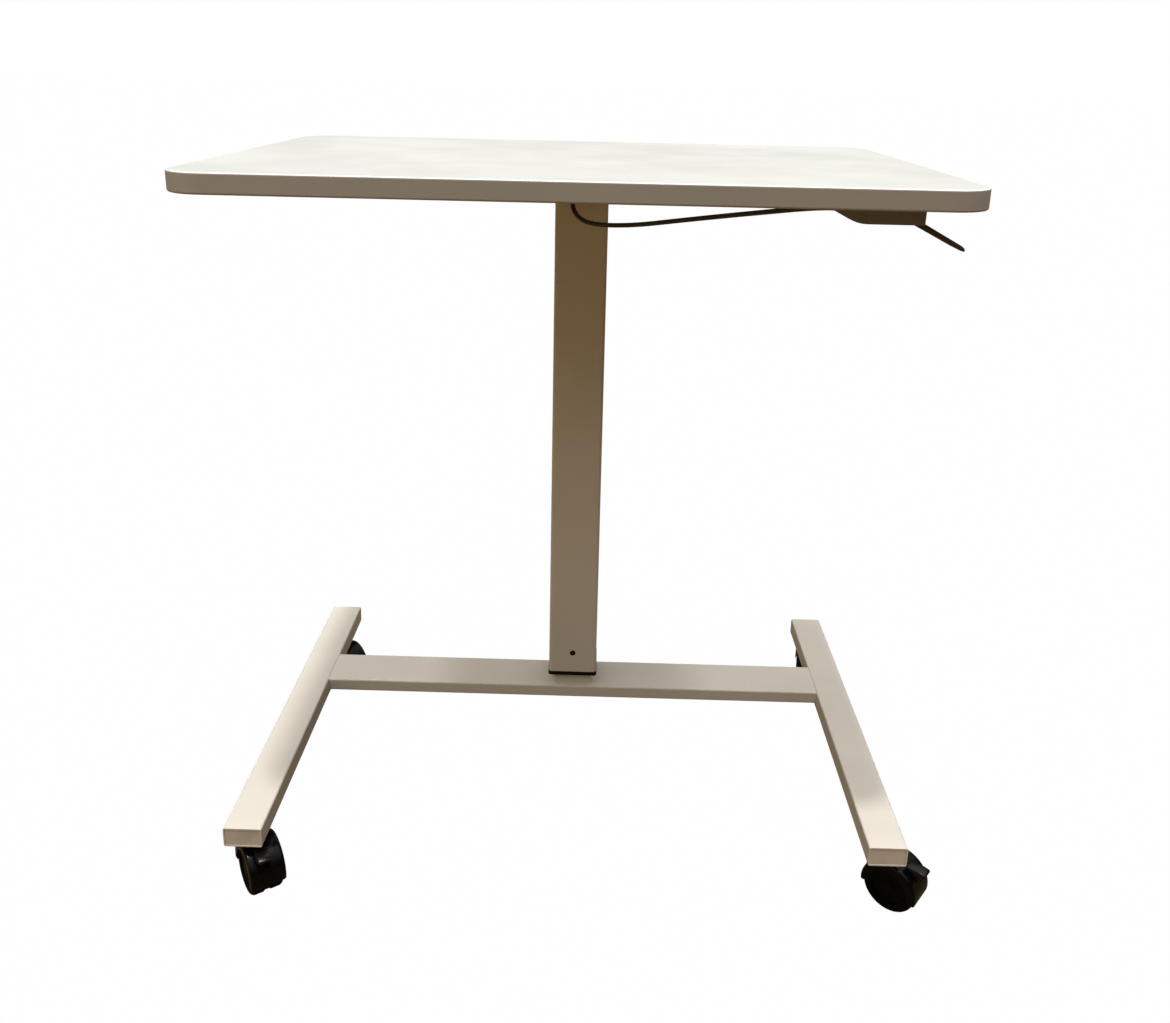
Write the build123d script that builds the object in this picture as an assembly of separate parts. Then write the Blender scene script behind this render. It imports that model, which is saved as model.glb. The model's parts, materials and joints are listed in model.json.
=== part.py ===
from build123d import *
import math
import os

# Height-adjustable overbed table. A flat top is carried by a square telescopic column that stands
# towards the back of an H-shaped base on four swivelling twin-wheel casters. A lockable gas spring
# inside the column is released by a hand lever under the right end of the top, through a sheathed cable.
#
# Frame: millimetres, X to the user's right, Y away from the user, Z up. The table stands at its lowest
# height. Parts are drawn with X = 0 in the middle of the base. They are written out moved by ORIGIN_SHIFT,
# which puts the origin on the floor in the middle of everything, with the casters as they are turned here.

# ---------------------------------------------------------------- driving dimensions

# top
TOP_W, TOP_D = 696.0, 480.0
TOP_FRONT_Y = -251.0
TOP_CORNER_R = 38.0
EDGE_BAND_T = 2.0
EDGE_ROUND_R = 1.8
LAMINATE_T, BACKING_T = 1.0, 0.8
CORE_T = 17.5

# base
CASTER_H = 68.0
LEG_W, LEG_H, LEG_L = 40.0, 22.0, 460.0
LEG_X = 334.0
LEG_FRONT_Y = -208.0
LEG_WALL, LEG_CORNER_R = 1.5, 2.2
CROSS_D, CROSS_H, CROSS_WALL = 60.0, 16.0, 1.5
STEM_INSET = 39.0
STEM_X = 337.0

# telescopic column
COLUMN_Y = 97.0
OUTER_W, OUTER_WALL, OUTER_R = 60.0, 2.0, 3.5
INNER_W, INNER_WALL, INNER_R = 49.0, 2.0, 4.0
INNER_L = 600.0
GUIDE_GAP = 16.0
GUIDE_FLANGE_T = 5.0
LIFT = 350.0

# height of the top over the base tubes, at the lowest setting
TOP_RISE = 657.5

# gas spring
CYL_R, CYL_BORE_R, CYL_L = 14.0, 12.0, 395.0
ROD_R = 5.0
ROD_SPARE = 20.0

# casters: wheel radius, trail from the stem to the axle, and how each is turned about its stem
WHEEL_R, WHEEL_W = 28.0, 13.5
TRAIL = 20.0
CASTER_YAW = {"front_left": 35.0, "front_right": 51.0, "rear_left": 42.0, "rear_right": 170.0}

ORIGIN_SHIFT = (-15.0, -7.0)

# ---------------------------------------------------------------- levels and places worked out from them

LEG_Z0 = CASTER_H
LEG_Z1 = LEG_Z0 + LEG_H
CROSS_Z0 = LEG_Z1 - CROSS_H
TOP_Z0 = LEG_Z1 + TOP_RISE
TOP_Z1 = TOP_Z0 + CORE_T + LAMINATE_T
TOP_MID_Y = TOP_FRONT_Y + TOP_D / 2
LEG_MID_Y = LEG_FRONT_Y + LEG_L / 2
CROSS_L = 2 * LEG_X - LEG_W
PLATE_T = 4.0
PLATE_Z0 = TOP_Z0 - PLATE_T
OUTER_Z0 = LEG_Z1 + GUIDE_GAP + GUIDE_FLANGE_T
INNER_Z1 = LEG_Z1 + INNER_L
OUTER_IN = OUTER_W - 2 * OUTER_WALL
INNER_IN = INNER_W - 2 * INNER_WALL
STEM_Y = {"front": LEG_FRONT_Y + STEM_INSET, "rear": LEG_FRONT_Y + LEG_L - STEM_INSET}
SLACK = 0.1  # gap a side between fixed pieces that fit inside each other


def stem_place(corner):
    """Where a caster's stem axis meets the floor."""
    row, side = corner.split("_")
    return (-STEM_X if side == "left" else STEM_X), STEM_Y[row]


# ---------------------------------------------------------------- small helpers


def block(x0, x1, y0, y1, z0, z1):
    """A box between two corners."""
    return Pos((x0 + x1) / 2, (y0 + y1) / 2, (z0 + z1) / 2) * Box(x1 - x0, y1 - y0, z1 - z0)


def rod_x(radius, x0, x1, y=0.0, z=0.0):
    """A round bar along X."""
    return Pos((x0 + x1) / 2, y, z) * Rot(Y=90) * Cylinder(radius, x1 - x0)


def rod_y(radius, y0, y1, x=0.0, z=0.0):
    """A round bar along Y."""
    return Pos(x, (y0 + y1) / 2, z) * Rot(X=90) * Cylinder(radius, y1 - y0)


def rod_z(radius, z0, z1, x=0.0, y=0.0):
    """A round bar along Z."""
    return Pos(x, y, (z0 + z1) / 2) * Cylinder(radius, z1 - z0)


def bar_z(width, depth, radius, z0, z1):
    """A bar along Z with a rounded rectangular section, on the Z axis."""
    return Pos(0, 0, z0) * extrude(RectangleRounded(width, depth, radius), amount=z1 - z0)


def tube_z(width, depth, wall, radius, z0, z1):
    """A rectangular tube along Z, on the Z axis."""
    bore = bar_z(width - 2 * wall, depth - 2 * wall, radius - wall, z0 - 1, z1 + 1)
    return bar_z(width, depth, radius, z0, z1) - bore


def extrude_xz(points, y0, y1):
    """A prism along Y over a polygon given in X and Z."""
    face = make_face(Polyline(*[(x, -z) for x, z in points], close=True))
    return Pos(0, y0, 0) * Rot(X=-90) * extrude(face, amount=y1 - y0)


def extrude_yz(points, x0, x1):
    """A prism along X over a polygon given in Y and Z."""
    face = Plane.YZ.offset(x0) * make_face(Polyline(*points, close=True))
    return extrude(face, amount=x1 - x0, dir=(1, 0, 0))


def hexagon_z(across_flats, z0, z1, x=0.0, y=0.0):
    """A hexagonal bar along Z."""
    radius = across_flats / math.sqrt(3)
    return Pos(x, y, z0) * extrude(RegularPolygon(radius, 6), amount=z1 - z0)


# ---------------------------------------------------------------- base

STEM_R = 5.0
NUT_T = 8.0
CAP_PLUG_L = 14.0
FOOT_PLATE_T = 8.0
COLUMN_BOLT_R = 3.0
COLUMN_BOLT_PITCH = 30.0
ANCHOR_Z = INNER_Z1 - CYL_L - 12.0


def leg(side):
    """Rectangular side tube, with a clearance hole for a caster stem near each end."""
    sign = -1 if side == "left" else 1
    tube = Rot(X=90) * tube_z(LEG_W, LEG_H, LEG_WALL, LEG_CORNER_R, -LEG_L / 2, LEG_L / 2)
    tube = Pos(sign * LEG_X, LEG_MID_Y, LEG_Z0 + LEG_H / 2) * tube
    for y in STEM_Y.values():
        tube -= rod_z(STEM_R + 0.25, LEG_Z0 - 1, LEG_Z0 + LEG_WALL + 1, sign * STEM_X, y)
    return tube


def leg_end_cap(corner):
    """Plastic plug that closes a side tube: a ribbed block with a flush face."""
    x = -LEG_X if corner.endswith("left") else LEG_X
    face_w, face_h = LEG_W - 2 * LEG_WALL - 2 * SLACK, LEG_H - 2 * LEG_WALL - 2 * SLACK
    face_t, recess = 2.5, 0.4
    plate = bar_z(face_w, face_h, LEG_CORNER_R - LEG_WALL, 0, face_t)
    top_edges = plate.faces().sort_by(Axis.Z)[0].edges()
    plate = fillet(top_edges, 0.5)
    web_t, web_w, web_h = 2.0, face_w - 1.0, face_h - 1.0
    webs = block(-web_w / 2, web_w / 2, -web_t / 2, web_t / 2, face_t, CAP_PLUG_L)
    for offset in (-web_w / 3, 0, web_w / 3):
        webs += block(offset - web_t / 2, offset + web_t / 2, -web_h / 2, web_h / 2, face_t, CAP_PLUG_L)
    cap = plate + webs
    if corner.startswith("front"):
        return Pos(x, LEG_FRONT_Y + recess, LEG_Z0 + LEG_H / 2) * Rot(X=-90) * cap
    return Pos(x, LEG_FRONT_Y + LEG_L - recess, LEG_Z0 + LEG_H / 2) * Rot(X=90) * cap


def leg_weld_nuts():
    """Four nuts welded inside the side tubes, over the stem holes."""
    nuts = []
    z0 = LEG_Z0 + LEG_WALL
    for corner in CASTER_YAW:
        x, y = stem_place(corner)
        nuts.append(hexagon_z(16.0, z0, z0 + NUT_T, x, y) - rod_z(STEM_R + 0.05, z0 - 1, z0 + NUT_T + 1, x, y))
    return Compound(nuts)


def column_bolt_places():
    """Centres of the four bolts under the column, in X and Y."""
    half = COLUMN_BOLT_PITCH / 2
    return [(sx * half, COLUMN_Y + sy * half) for sx in (-1, 1) for sy in (-1, 1)]


def crossbar():
    """Flat cross tube that joins the two side tubes."""
    tube = Rot(Y=90) * tube_z(CROSS_H, CROSS_D, CROSS_WALL, LEG_CORNER_R, -CROSS_L / 2, CROSS_L / 2)
    tube = Pos(0, COLUMN_Y, CROSS_Z0 + CROSS_H / 2) * tube
    for x, y in column_bolt_places():
        tube -= rod_z(COLUMN_BOLT_R + 0.25, CROSS_Z0 - 1, LEG_Z1 + 1, x, y)
    return tube


def column_foot_plate():
    """Threaded plate welded inside the foot of the inner column."""
    side = INNER_IN - 2 * SLACK
    plate = bar_z(side, side, INNER_R - INNER_WALL, LEG_Z1, LEG_Z1 + FOOT_PLATE_T)
    plate = Pos(0, COLUMN_Y, 0) * plate
    for x, y in column_bolt_places():
        plate -= rod_z(COLUMN_BOLT_R + 0.05, LEG_Z1 - 1, LEG_Z1 + FOOT_PLATE_T + 1, x, y)
    return plate


def column_bolts():
    """Four hexagon bolts, with washers, that pull the column down on the cross tube."""
    head_t, washer_t = 4.0, 1.2
    bolts = []
    for x, y in column_bolt_places():
        under = CROSS_Z0 - washer_t
        bolt = rod_z(COLUMN_BOLT_R, under - 0.5, LEG_Z1 + FOOT_PLATE_T, x, y)
        bolt += hexagon_z(10.0, under - head_t, under, x, y)
        bolts.append(bolt + rod_z(6.0, under, CROSS_Z0, x, y))
    return Compound(bolts)


def inner_column():
    """Fixed lower column, with a cross hole for the gas spring's anchor pin."""
    tube = tube_z(INNER_W, INNER_W, INNER_WALL, INNER_R, LEG_Z1, INNER_Z1)
    tube -= rod_x(ANCHOR_PIN_R + 0.02, -INNER_W, INNER_W, 0, ANCHOR_Z)
    return Pos(0, COLUMN_Y, 0) * tube


ANCHOR_PIN_R = 5.0
UPPER_GUIDE_L = 35.0
UPPER_GUIDE_CAP_T = 4.0
RUN = 0.2  # sliding gap a side between the guides and the tubes


def upper_guide():
    """Plastic slide cap on the top end of the inner column."""
    outer = OUTER_IN - 2 * RUN
    z0, z1 = INNER_Z1 - UPPER_GUIDE_L, INNER_Z1 + UPPER_GUIDE_CAP_T
    cap = bar_z(outer, outer, OUTER_R - OUTER_WALL, z0, z1)
    cap -= bar_z(INNER_W + 2 * SLACK, INNER_W + 2 * SLACK, INNER_R, z0 - 1, INNER_Z1)
    cap -= rod_z(CYL_R + 1.0, INNER_Z1 - 1, z1 + 1)
    return Pos(0, COLUMN_Y, 0) * cap


def gas_spring_cylinder():
    """Pressure tube, closed at the foot by an eye for the anchor pin."""
    z1 = INNER_Z1 + 2.0
    z0 = z1 - CYL_L
    body = rod_z(CYL_R, z0, z1) - rod_z(CYL_BORE_R, z0 + 4.0, z1 + 1)
    eye = block(-6.0, 6.0, -11.0, 11.0, ANCHOR_Z, z0 + 1) + rod_x(11.0, -6.0, 6.0, 0, ANCHOR_Z)
    eye -= rod_x(ANCHOR_PIN_R + 0.05, -10, 10, 0, ANCHOR_Z)
    return Pos(0, COLUMN_Y, 0) * (body + eye)


def gas_spring_gland():
    """Rod guide and seal carrier in the open end of the pressure tube."""
    z1 = INNER_Z1 + 2.0
    gland = rod_z(CYL_BORE_R - 0.02, z1 - 18.0, z1) - rod_z(ROD_R + 0.05, z1 - 19.0, z1 + 1)
    return Pos(0, COLUMN_Y, 0) * gland


def gas_spring_anchor_pin():
    """Headless cross pin, flush with the inner column's sides."""
    half = INNER_W / 2 - SLACK
    return rod_x(ANCHOR_PIN_R, -half, half, COLUMN_Y, ANCHOR_Z)


# ---------------------------------------------------------------- moving column and what it carries

GUIDE_SCREW_Z = OUTER_Z0 + 26.5
PLATE_W, PLATE_D = 220.0, 300.0
PLATE_BACK_Y = COLUMN_Y + OUTER_W / 2 + 8.0
HEAD_Z0 = PLATE_Z0 - 33.0
HEAD_T = 12.0
CABLE_R = 2.5
CABLE_X = -10.0
CABLE_Z = TOP_Z0 - 29.0
FACE_Y = COLUMN_Y - OUTER_W / 2


def outer_column():
    """Sliding upper column, with countersunk holes for the guide screws and a hole for the cable boot."""
    tube = Pos(0, COLUMN_Y, 0) * tube_z(OUTER_W, OUTER_W, OUTER_WALL, OUTER_R, OUTER_Z0, PLATE_Z0)
    for side in (-1, 1):
        y = COLUMN_Y + side * OUTER_W / 2
        tube -= rod_y(2.15, y - 4, y + 4, 0, GUIDE_SCREW_Z)
        sink = Pos(0, y - side * 0.9, GUIDE_SCREW_Z) * Rot(X=-90 * side) * Cone(2.15, 3.8, 1.8)
        tube -= sink
    return tube - rod_y(BOOT_R + 0.05, FACE_Y - 1, FACE_Y + OUTER_WALL + 1, CABLE_X, CABLE_Z)


def lower_guide():
    """Flanged plastic bush in the open foot of the outer column."""
    sleeve_l, flange_w = 39.0, OUTER_W + 1.6
    outer = OUTER_IN - 2 * SLACK
    bush = bar_z(outer, outer, OUTER_R - OUTER_WALL, OUTER_Z0 - 1, OUTER_Z0 + sleeve_l)
    flange = bar_z(flange_w, flange_w, OUTER_R + 0.8, OUTER_Z0 - GUIDE_FLANGE_T, OUTER_Z0)
    opening = INNER_W + 2 * RUN
    bush = bush + flange
    bush -= bar_z(opening, opening, INNER_R, OUTER_Z0 - GUIDE_FLANGE_T - 1, OUTER_Z0 + sleeve_l + 1)
    bush = Pos(0, COLUMN_Y, 0) * bush
    return bush - rod_y(1.8, COLUMN_Y - OUTER_W, COLUMN_Y + OUTER_W, 0, GUIDE_SCREW_Z)


def guide_screws():
    """Two countersunk screws, front and back, that hold the lower guide in the column."""
    screws = []
    for side in (-1, 1):
        y = COLUMN_Y + side * OUTER_W / 2
        head = Pos(0, y - side * 0.95, GUIDE_SCREW_Z) * Rot(X=-90 * side) * Cone(1.75, 3.6, 1.7)
        inner = y - side * 5.0
        shank = rod_y(1.75, min(inner, y - side * 1.5), max(inner, y - side * 1.5), 0, GUIDE_SCREW_Z)
        socket = hexagon_z(2.5, -0.8, 0.8)
        socket = Pos(0, y - side * 0.4, GUIDE_SCREW_Z) * Rot(X=90) * socket
        screws.append(head + shank - socket)
    return Compound(screws)


def plate_screw_places():
    """Centres of the eight screws that hold the top to its plate."""
    half_w, y0, y1 = PLATE_W / 2 - 14, PLATE_BACK_Y - PLATE_D + 14, PLATE_BACK_Y - 14
    mid = (y0 + y1) / 2
    sides = [(sx * half_w, y) for sx in (-1, 1) for y in (y0, mid, y1)]
    return sides + [(0, y0), (0, mid)]


def top_plate():
    """Steel plate welded on the column, under the top."""
    plate = Pos(0, PLATE_BACK_Y - PLATE_D / 2, 0) * bar_z(PLATE_W, PLATE_D, 14.0, PLATE_Z0, TOP_Z0)
    for x, y in plate_screw_places():
        plate -= rod_z(2.75, PLATE_Z0 - 1, TOP_Z0 + 1, x, y)
    return plate


def plate_gussets():
    """Two tapered ribs that stiffen the plate in front of the column."""
    front_y, deep, shallow, thick, offset = FACE_Y - 130.0, 30.0, 6.0, 3.0, 24.0
    outline = [
        (FACE_Y, PLATE_Z0),
        (front_y, PLATE_Z0),
        (front_y, PLATE_Z0 - shallow),
        (FACE_Y - 12.0, PLATE_Z0 - deep),
        (FACE_Y, PLATE_Z0 - deep),
    ]
    return Compound([extrude_yz(outline, s * offset - thick / 2, s * offset + thick / 2) for s in (-1, 1)])


def plate_screws():
    """Eight pan-head screws, driven up into the top's core."""
    screws = []
    for x, y in plate_screw_places():
        head = fillet(rod_z(4.5, PLATE_Z0 - 3, PLATE_Z0, x, y).edges().sort_by(Axis.Z)[0], 1.2)
        recess = hexagon_z(3.0, PLATE_Z0 - 4, PLATE_Z0 - 1.4, x, y)
        screws.append(head + rod_z(2.0, PLATE_Z0 - 0.5, TOP_Z0 + 12.0, x, y) - recess)
    return Compound(screws)


def top_sheet(z0, z1):
    """A layer of the top, inside the edge band."""
    inset = 2 * EDGE_BAND_T
    return Pos(0, TOP_MID_Y, 0) * bar_z(TOP_W - inset, TOP_D - inset, TOP_CORNER_R - EDGE_BAND_T, z0, z1)


def tabletop_core():
    """Chipboard core, with blind holes for the plate screws and the lever housing's screws."""
    core = top_sheet(TOP_Z0 + BACKING_T, TOP_Z0 + CORE_T)
    for x, y in plate_screw_places() + housing_screw_places():
        core -= rod_z(2.05, TOP_Z0 - 1, TOP_Z0 + 12.5, x, y)
    return core


def tabletop_backing():
    """Thin balancing sheet bonded under the core, drilled for the screws."""
    sheet = top_sheet(TOP_Z0, TOP_Z0 + BACKING_T)
    for x, y in plate_screw_places() + housing_screw_places():
        sheet -= rod_z(2.05, TOP_Z0 - 1, TOP_Z0 + 2, x, y)
    return sheet


def tabletop_laminate():
    """Hard white sheet bonded over the core."""
    return top_sheet(TOP_Z1 - LAMINATE_T, TOP_Z1)


def tabletop_edge_band():
    """Plastic band round the edge, rounded over above and below."""
    band = bar_z(TOP_W, TOP_D, TOP_CORNER_R, TOP_Z0, TOP_Z1)
    band = fillet(band.faces().sort_by(Axis.Z)[-1].edges() + band.faces().sort_by(Axis.Z)[0].edges(), EDGE_ROUND_R)
    return Pos(0, TOP_MID_Y, 0) * band - top_sheet(TOP_Z0 - 1, TOP_Z1 + 1)


def gas_spring_rod():
    """Chromed rod, bored at the top for the valve pin."""
    z0, z1 = INNER_Z1 - LIFT - ROD_SPARE, HEAD_Z0 + HEAD_T
    rod = rod_z(ROD_R, z0, z1) - rod_z(VALVE_PIN_R + 0.05, z1 - 32.0, z1 + 1)
    return Pos(0, COLUMN_Y, 0) * rod


def gas_spring_piston():
    """Piston ring on the foot of the rod."""
    z0 = INNER_Z1 - LIFT - ROD_SPARE
    piston = rod_z(CYL_BORE_R - 0.05, z0 - 8.0, z0)
    return Pos(0, COLUMN_Y, 0) * piston


def rod_lock_nut():
    """Nut that locks the rod in the release head."""
    nut = hexagon_z(17.0, HEAD_Z0 - 7.0, HEAD_Z0) - rod_z(ROD_R + 0.05, HEAD_Z0 - 8.0, HEAD_Z0 + 1)
    return Pos(0, COLUMN_Y, 0) * nut


# ---------------------------------------------------------------- release mechanism in the column

CRANK_Y = COLUMN_Y - 14.0
CRANK_Z = HEAD_Z0 + 23.0
CRANK_DROP = CRANK_Z - CABLE_Z
PIN_ARM = COLUMN_Y - CRANK_Y
VALVE_PIN_R = 1.5
VALVE_STAND = 5.0
EAR_IN, EAR_OUT = 17.0, 20.0
BOOT_R = 4.5
WIRE_R = 0.9


def release_head():
    """Bracket that takes the rod's end and carries the crank between two ears."""
    z1 = HEAD_Z0 + HEAD_T
    base = block(-EAR_OUT, EAR_OUT, -7.0, 15.0, HEAD_Z0, z1) - rod_z(ROD_R + 0.05, HEAD_Z0 - 1, z1 + 1)
    for side in (-1, 1):
        x0, x1 = sorted((side * EAR_IN, side * EAR_OUT))
        base += block(x0, x1, -21.0, 15.0, HEAD_Z0, PLATE_Z0)
    head = Pos(0, COLUMN_Y, 0) * base
    return head - rod_x(2.5, -EAR_OUT - 1, EAR_OUT + 1, CRANK_Y, CRANK_Z)


def crank_pivot_pin():
    """Pin that the crank turns on."""
    return rod_x(2.48, -EAR_OUT, EAR_OUT, CRANK_Y, CRANK_Z)


def release_crank():
    """Bell crank: the cable pulls its lower arm forwards, and its other arm presses the valve pin."""
    pad_z = HEAD_Z0 + HEAD_T + VALVE_STAND + 0.4
    hub = rod_x(4.5, -16.0, 16.0, CRANK_Y, CRANK_Z)
    press_arm = block(-6.0, 6.0, CRANK_Y, COLUMN_Y + 5.0, pad_z, CRANK_Z + 3.0)
    left, right = CABLE_X - 4.5, CABLE_X + 4.5
    pull_arm = block(left, right, CRANK_Y - 2.5, CRANK_Y + 2.5, CABLE_Z - 5.0, CRANK_Z)
    crank = hub + press_arm + pull_arm
    crank -= rod_x(2.55, -17, 17, CRANK_Y, CRANK_Z)
    # the wire's barrel end lies across the pull arm, in a slot that opens to the back
    crank -= block(CABLE_X - 2.6, CABLE_X + 2.6, CRANK_Y - 0.9, CRANK_Y + 3, CABLE_Z - 3.2, CABLE_Z + 3.2)
    return crank - rod_y(WIRE_R + 0.9, CRANK_Y - 4, CRANK_Y + 4, CABLE_X, CABLE_Z)


def release_valve_pin():
    """Pin down the middle of the rod that opens the gas spring's valve."""
    z1 = HEAD_Z0 + HEAD_T
    return rod_z(VALVE_PIN_R, z1 - 26.0, z1 + VALVE_STAND, 0, COLUMN_Y)


def release_wire_crank_end():
    """End of the inner wire, with the barrel that pulls the crank."""
    wire = rod_y(WIRE_R, FACE_Y + 3.0, CRANK_Y + 1.5, CABLE_X, CABLE_Z)
    return wire + rod_z(2.0, CABLE_Z - 2.6, CABLE_Z + 2.6, CABLE_X, CRANK_Y + 1.5)


BOOT_TURN = 40.0
BOOT_ARC_R = 14.0
BOOT_TIP_L = 1.5


def boot_path():
    """Centreline of the cable boot: out through the column's front wall, then bent down."""
    y_in, y_bend = FACE_Y + OUTER_WALL + 6.0, FACE_Y - 6.0
    turn = math.radians(BOOT_TURN)
    start = Vector(CABLE_X, y_in, CABLE_Z)
    bend = Vector(CABLE_X, y_bend, CABLE_Z)
    mid = Vector(CABLE_X, y_bend - BOOT_ARC_R * math.sin(turn / 2), CABLE_Z - BOOT_ARC_R * (1 - math.cos(turn / 2)))
    end = Vector(CABLE_X, y_bend - BOOT_ARC_R * math.sin(turn), CABLE_Z - BOOT_ARC_R * (1 - math.cos(turn)))
    out = Vector(0, -math.cos(turn), -math.sin(turn))
    return start, bend, mid, end, end + out * BOOT_TIP_L


def column_cable_boot():
    """Moulded boot in the column's wall that turns the cable downwards."""
    start, bend, mid, end, tip = boot_path()
    path = Wire([Line(start, bend).edge(), ThreePointArc(bend, mid, end).edge(), Line(end, tip).edge()])
    boot = sweep(Plane(start, z_dir=(0, -1, 0)) * Circle(BOOT_R), path=path)
    collar = rod_y(BOOT_R + 2.5, FACE_Y - 2.5, FACE_Y, CABLE_X, CABLE_Z)
    return boot + collar - rod_y(WIRE_R + 0.3, FACE_Y + 1.0, start.Y + 1, CABLE_X, CABLE_Z)


# ---------------------------------------------------------------- hand lever, its housing and the cable

HOUSING_X0, HOUSING_X1 = 209.0, 302.5
HOUSING_Y0, HOUSING_W = TOP_FRONT_Y + 50.0, 44.0
HOUSING_Y1 = HOUSING_Y0 + HOUSING_W
HOUSING_MID_Y = HOUSING_Y0 + HOUSING_W / 2
HOUSING_H = 18.0
HOUSING_WALL = 2.5
LEVER_X, LEVER_Z = 286.0, TOP_Z0 - 2.9
LEVER_PIN_R = 1.75
LEVER_ARM = 4.7
LEVER_TIP = (344.0, TOP_Z0 - 41.7)
LEVER_W = 32.0
LEVER_T = 4.2
LEVER_CORNER = (297.0, TOP_Z0 - HOUSING_H)
WIRE_END_Z = LEVER_Z - LEVER_ARM
FERRULE_X = (247.0, 259.0)
CABLE_END_X = 253.0


def housing_outline(inset):
    """Side profile of the lever housing: a curved ramp on the left, a flat foot, a drafted right end."""
    z_top, z_low = TOP_Z0, TOP_Z0 - HOUSING_H + inset
    ramp = Spline(
        (HOUSING_X0 + inset, z_top),
        (HOUSING_X0 + 22 + inset / 2, z_top - 0.62 * (HOUSING_H - inset)),
        (HOUSING_X0 + 44, z_low),
        tangents=((0.9, -0.44), (1, 0)),
    )
    right = HOUSING_X1 - inset
    foot = Polyline((HOUSING_X0 + 44, z_low), (right - 0.3, z_low), (right, z_top), (HOUSING_X0 + inset, z_top))
    return make_face([ramp, foot])


def housing_form(inset, y0, y1):
    """The housing's outer form, or its hollow, between two depths."""
    face = Plane.XZ.offset(-y0) * housing_outline(inset)
    return extrude(face, amount=y1 - y0, dir=(0, 1, 0))


def housing_screw_places():
    """Centres of the two screws that hold the lever housing."""
    return [(262.0, HOUSING_MID_Y - 12.0), (262.0, HOUSING_MID_Y + 12.0)]


def lever_housing():
    """Moulded cover that holds the lever's pin, the cable's ferrule and two screw posts."""
    shell = housing_form(0, HOUSING_Y0, HOUSING_Y1)
    shell -= housing_form(HOUSING_WALL, HOUSING_Y0 + HOUSING_WALL, HOUSING_Y1 - HOUSING_WALL) + block(
        HOUSING_X0 + 12, HOUSING_X1 - 4, HOUSING_Y0 + HOUSING_WALL, HOUSING_Y1 - HOUSING_WALL, TOP_Z0 - 2, TOP_Z0 + 1
    )
    form = housing_form(0, HOUSING_Y0, HOUSING_Y1)
    for x, y in housing_screw_places():
        shell += rod_z(4.5, TOP_Z0 - HOUSING_H + 1, TOP_Z0, x, y)
    anchor = block(FERRULE_X[0] - 2, FERRULE_X[1] - 4, HOUSING_MID_Y - 7, HOUSING_MID_Y + 7, TOP_Z0 - 20, TOP_Z0)
    shell += anchor & form
    shell -= rod_x(3.52, FERRULE_X[0], FERRULE_X[1], HOUSING_MID_Y, WIRE_END_Z)
    shell -= rod_x(CABLE_R + 0.4, HOUSING_X0 + 12, FERRULE_X[0] + 1, HOUSING_MID_Y, WIRE_END_Z)
    # open notch in the ramp, where the cable comes in at a slant
    shell -= block(
        HOUSING_X0 - 1, FERRULE_X[0] - 2, HOUSING_MID_Y - 3.6, HOUSING_MID_Y + 13, WIRE_END_Z - 3.2, TOP_Z0 + 1
    )
    for x, y in housing_screw_places():
        shell -= rod_z(2.1, TOP_Z0 - HOUSING_H - 1, TOP_Z0 + 1, x, y)
        shell -= rod_z(3.8, TOP_Z0 - HOUSING_H - 1, TOP_Z0 - HOUSING_H + 2.5, x, y)
    # mouth for the lever, in the right end and the foot
    half = LEVER_W / 2 + 1.0
    shell -= block(291.0, 310.0, HOUSING_MID_Y - half, HOUSING_MID_Y + half, TOP_Z0 - 25, TOP_Z0 - 3.0)
    return shell - rod_y(LEVER_PIN_R, HOUSING_Y0 - 1, HOUSING_Y1 + 1, LEVER_X, LEVER_Z)


def lever_housing_screws():
    """Two screws up through the housing's posts into the top."""
    screws = []
    for x, y in housing_screw_places():
        z0 = TOP_Z0 - HOUSING_H + 0.3
        head = rod_z(3.6, z0, z0 + 2.2, x, y) - hexagon_z(2.5, z0 - 1, z0 + 1.2, x, y)
        screws.append(head + rod_z(2.0, z0 + 2.0, TOP_Z0 + 12.0, x, y))
    return Compound(screws)


def lever_pivot_pin():
    """Pin across the housing that the hand lever turns on."""
    return rod_y(LEVER_PIN_R - 0.02, HOUSING_Y0 + 0.3, HOUSING_Y1 - 0.3, LEVER_X, LEVER_Z)


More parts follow.
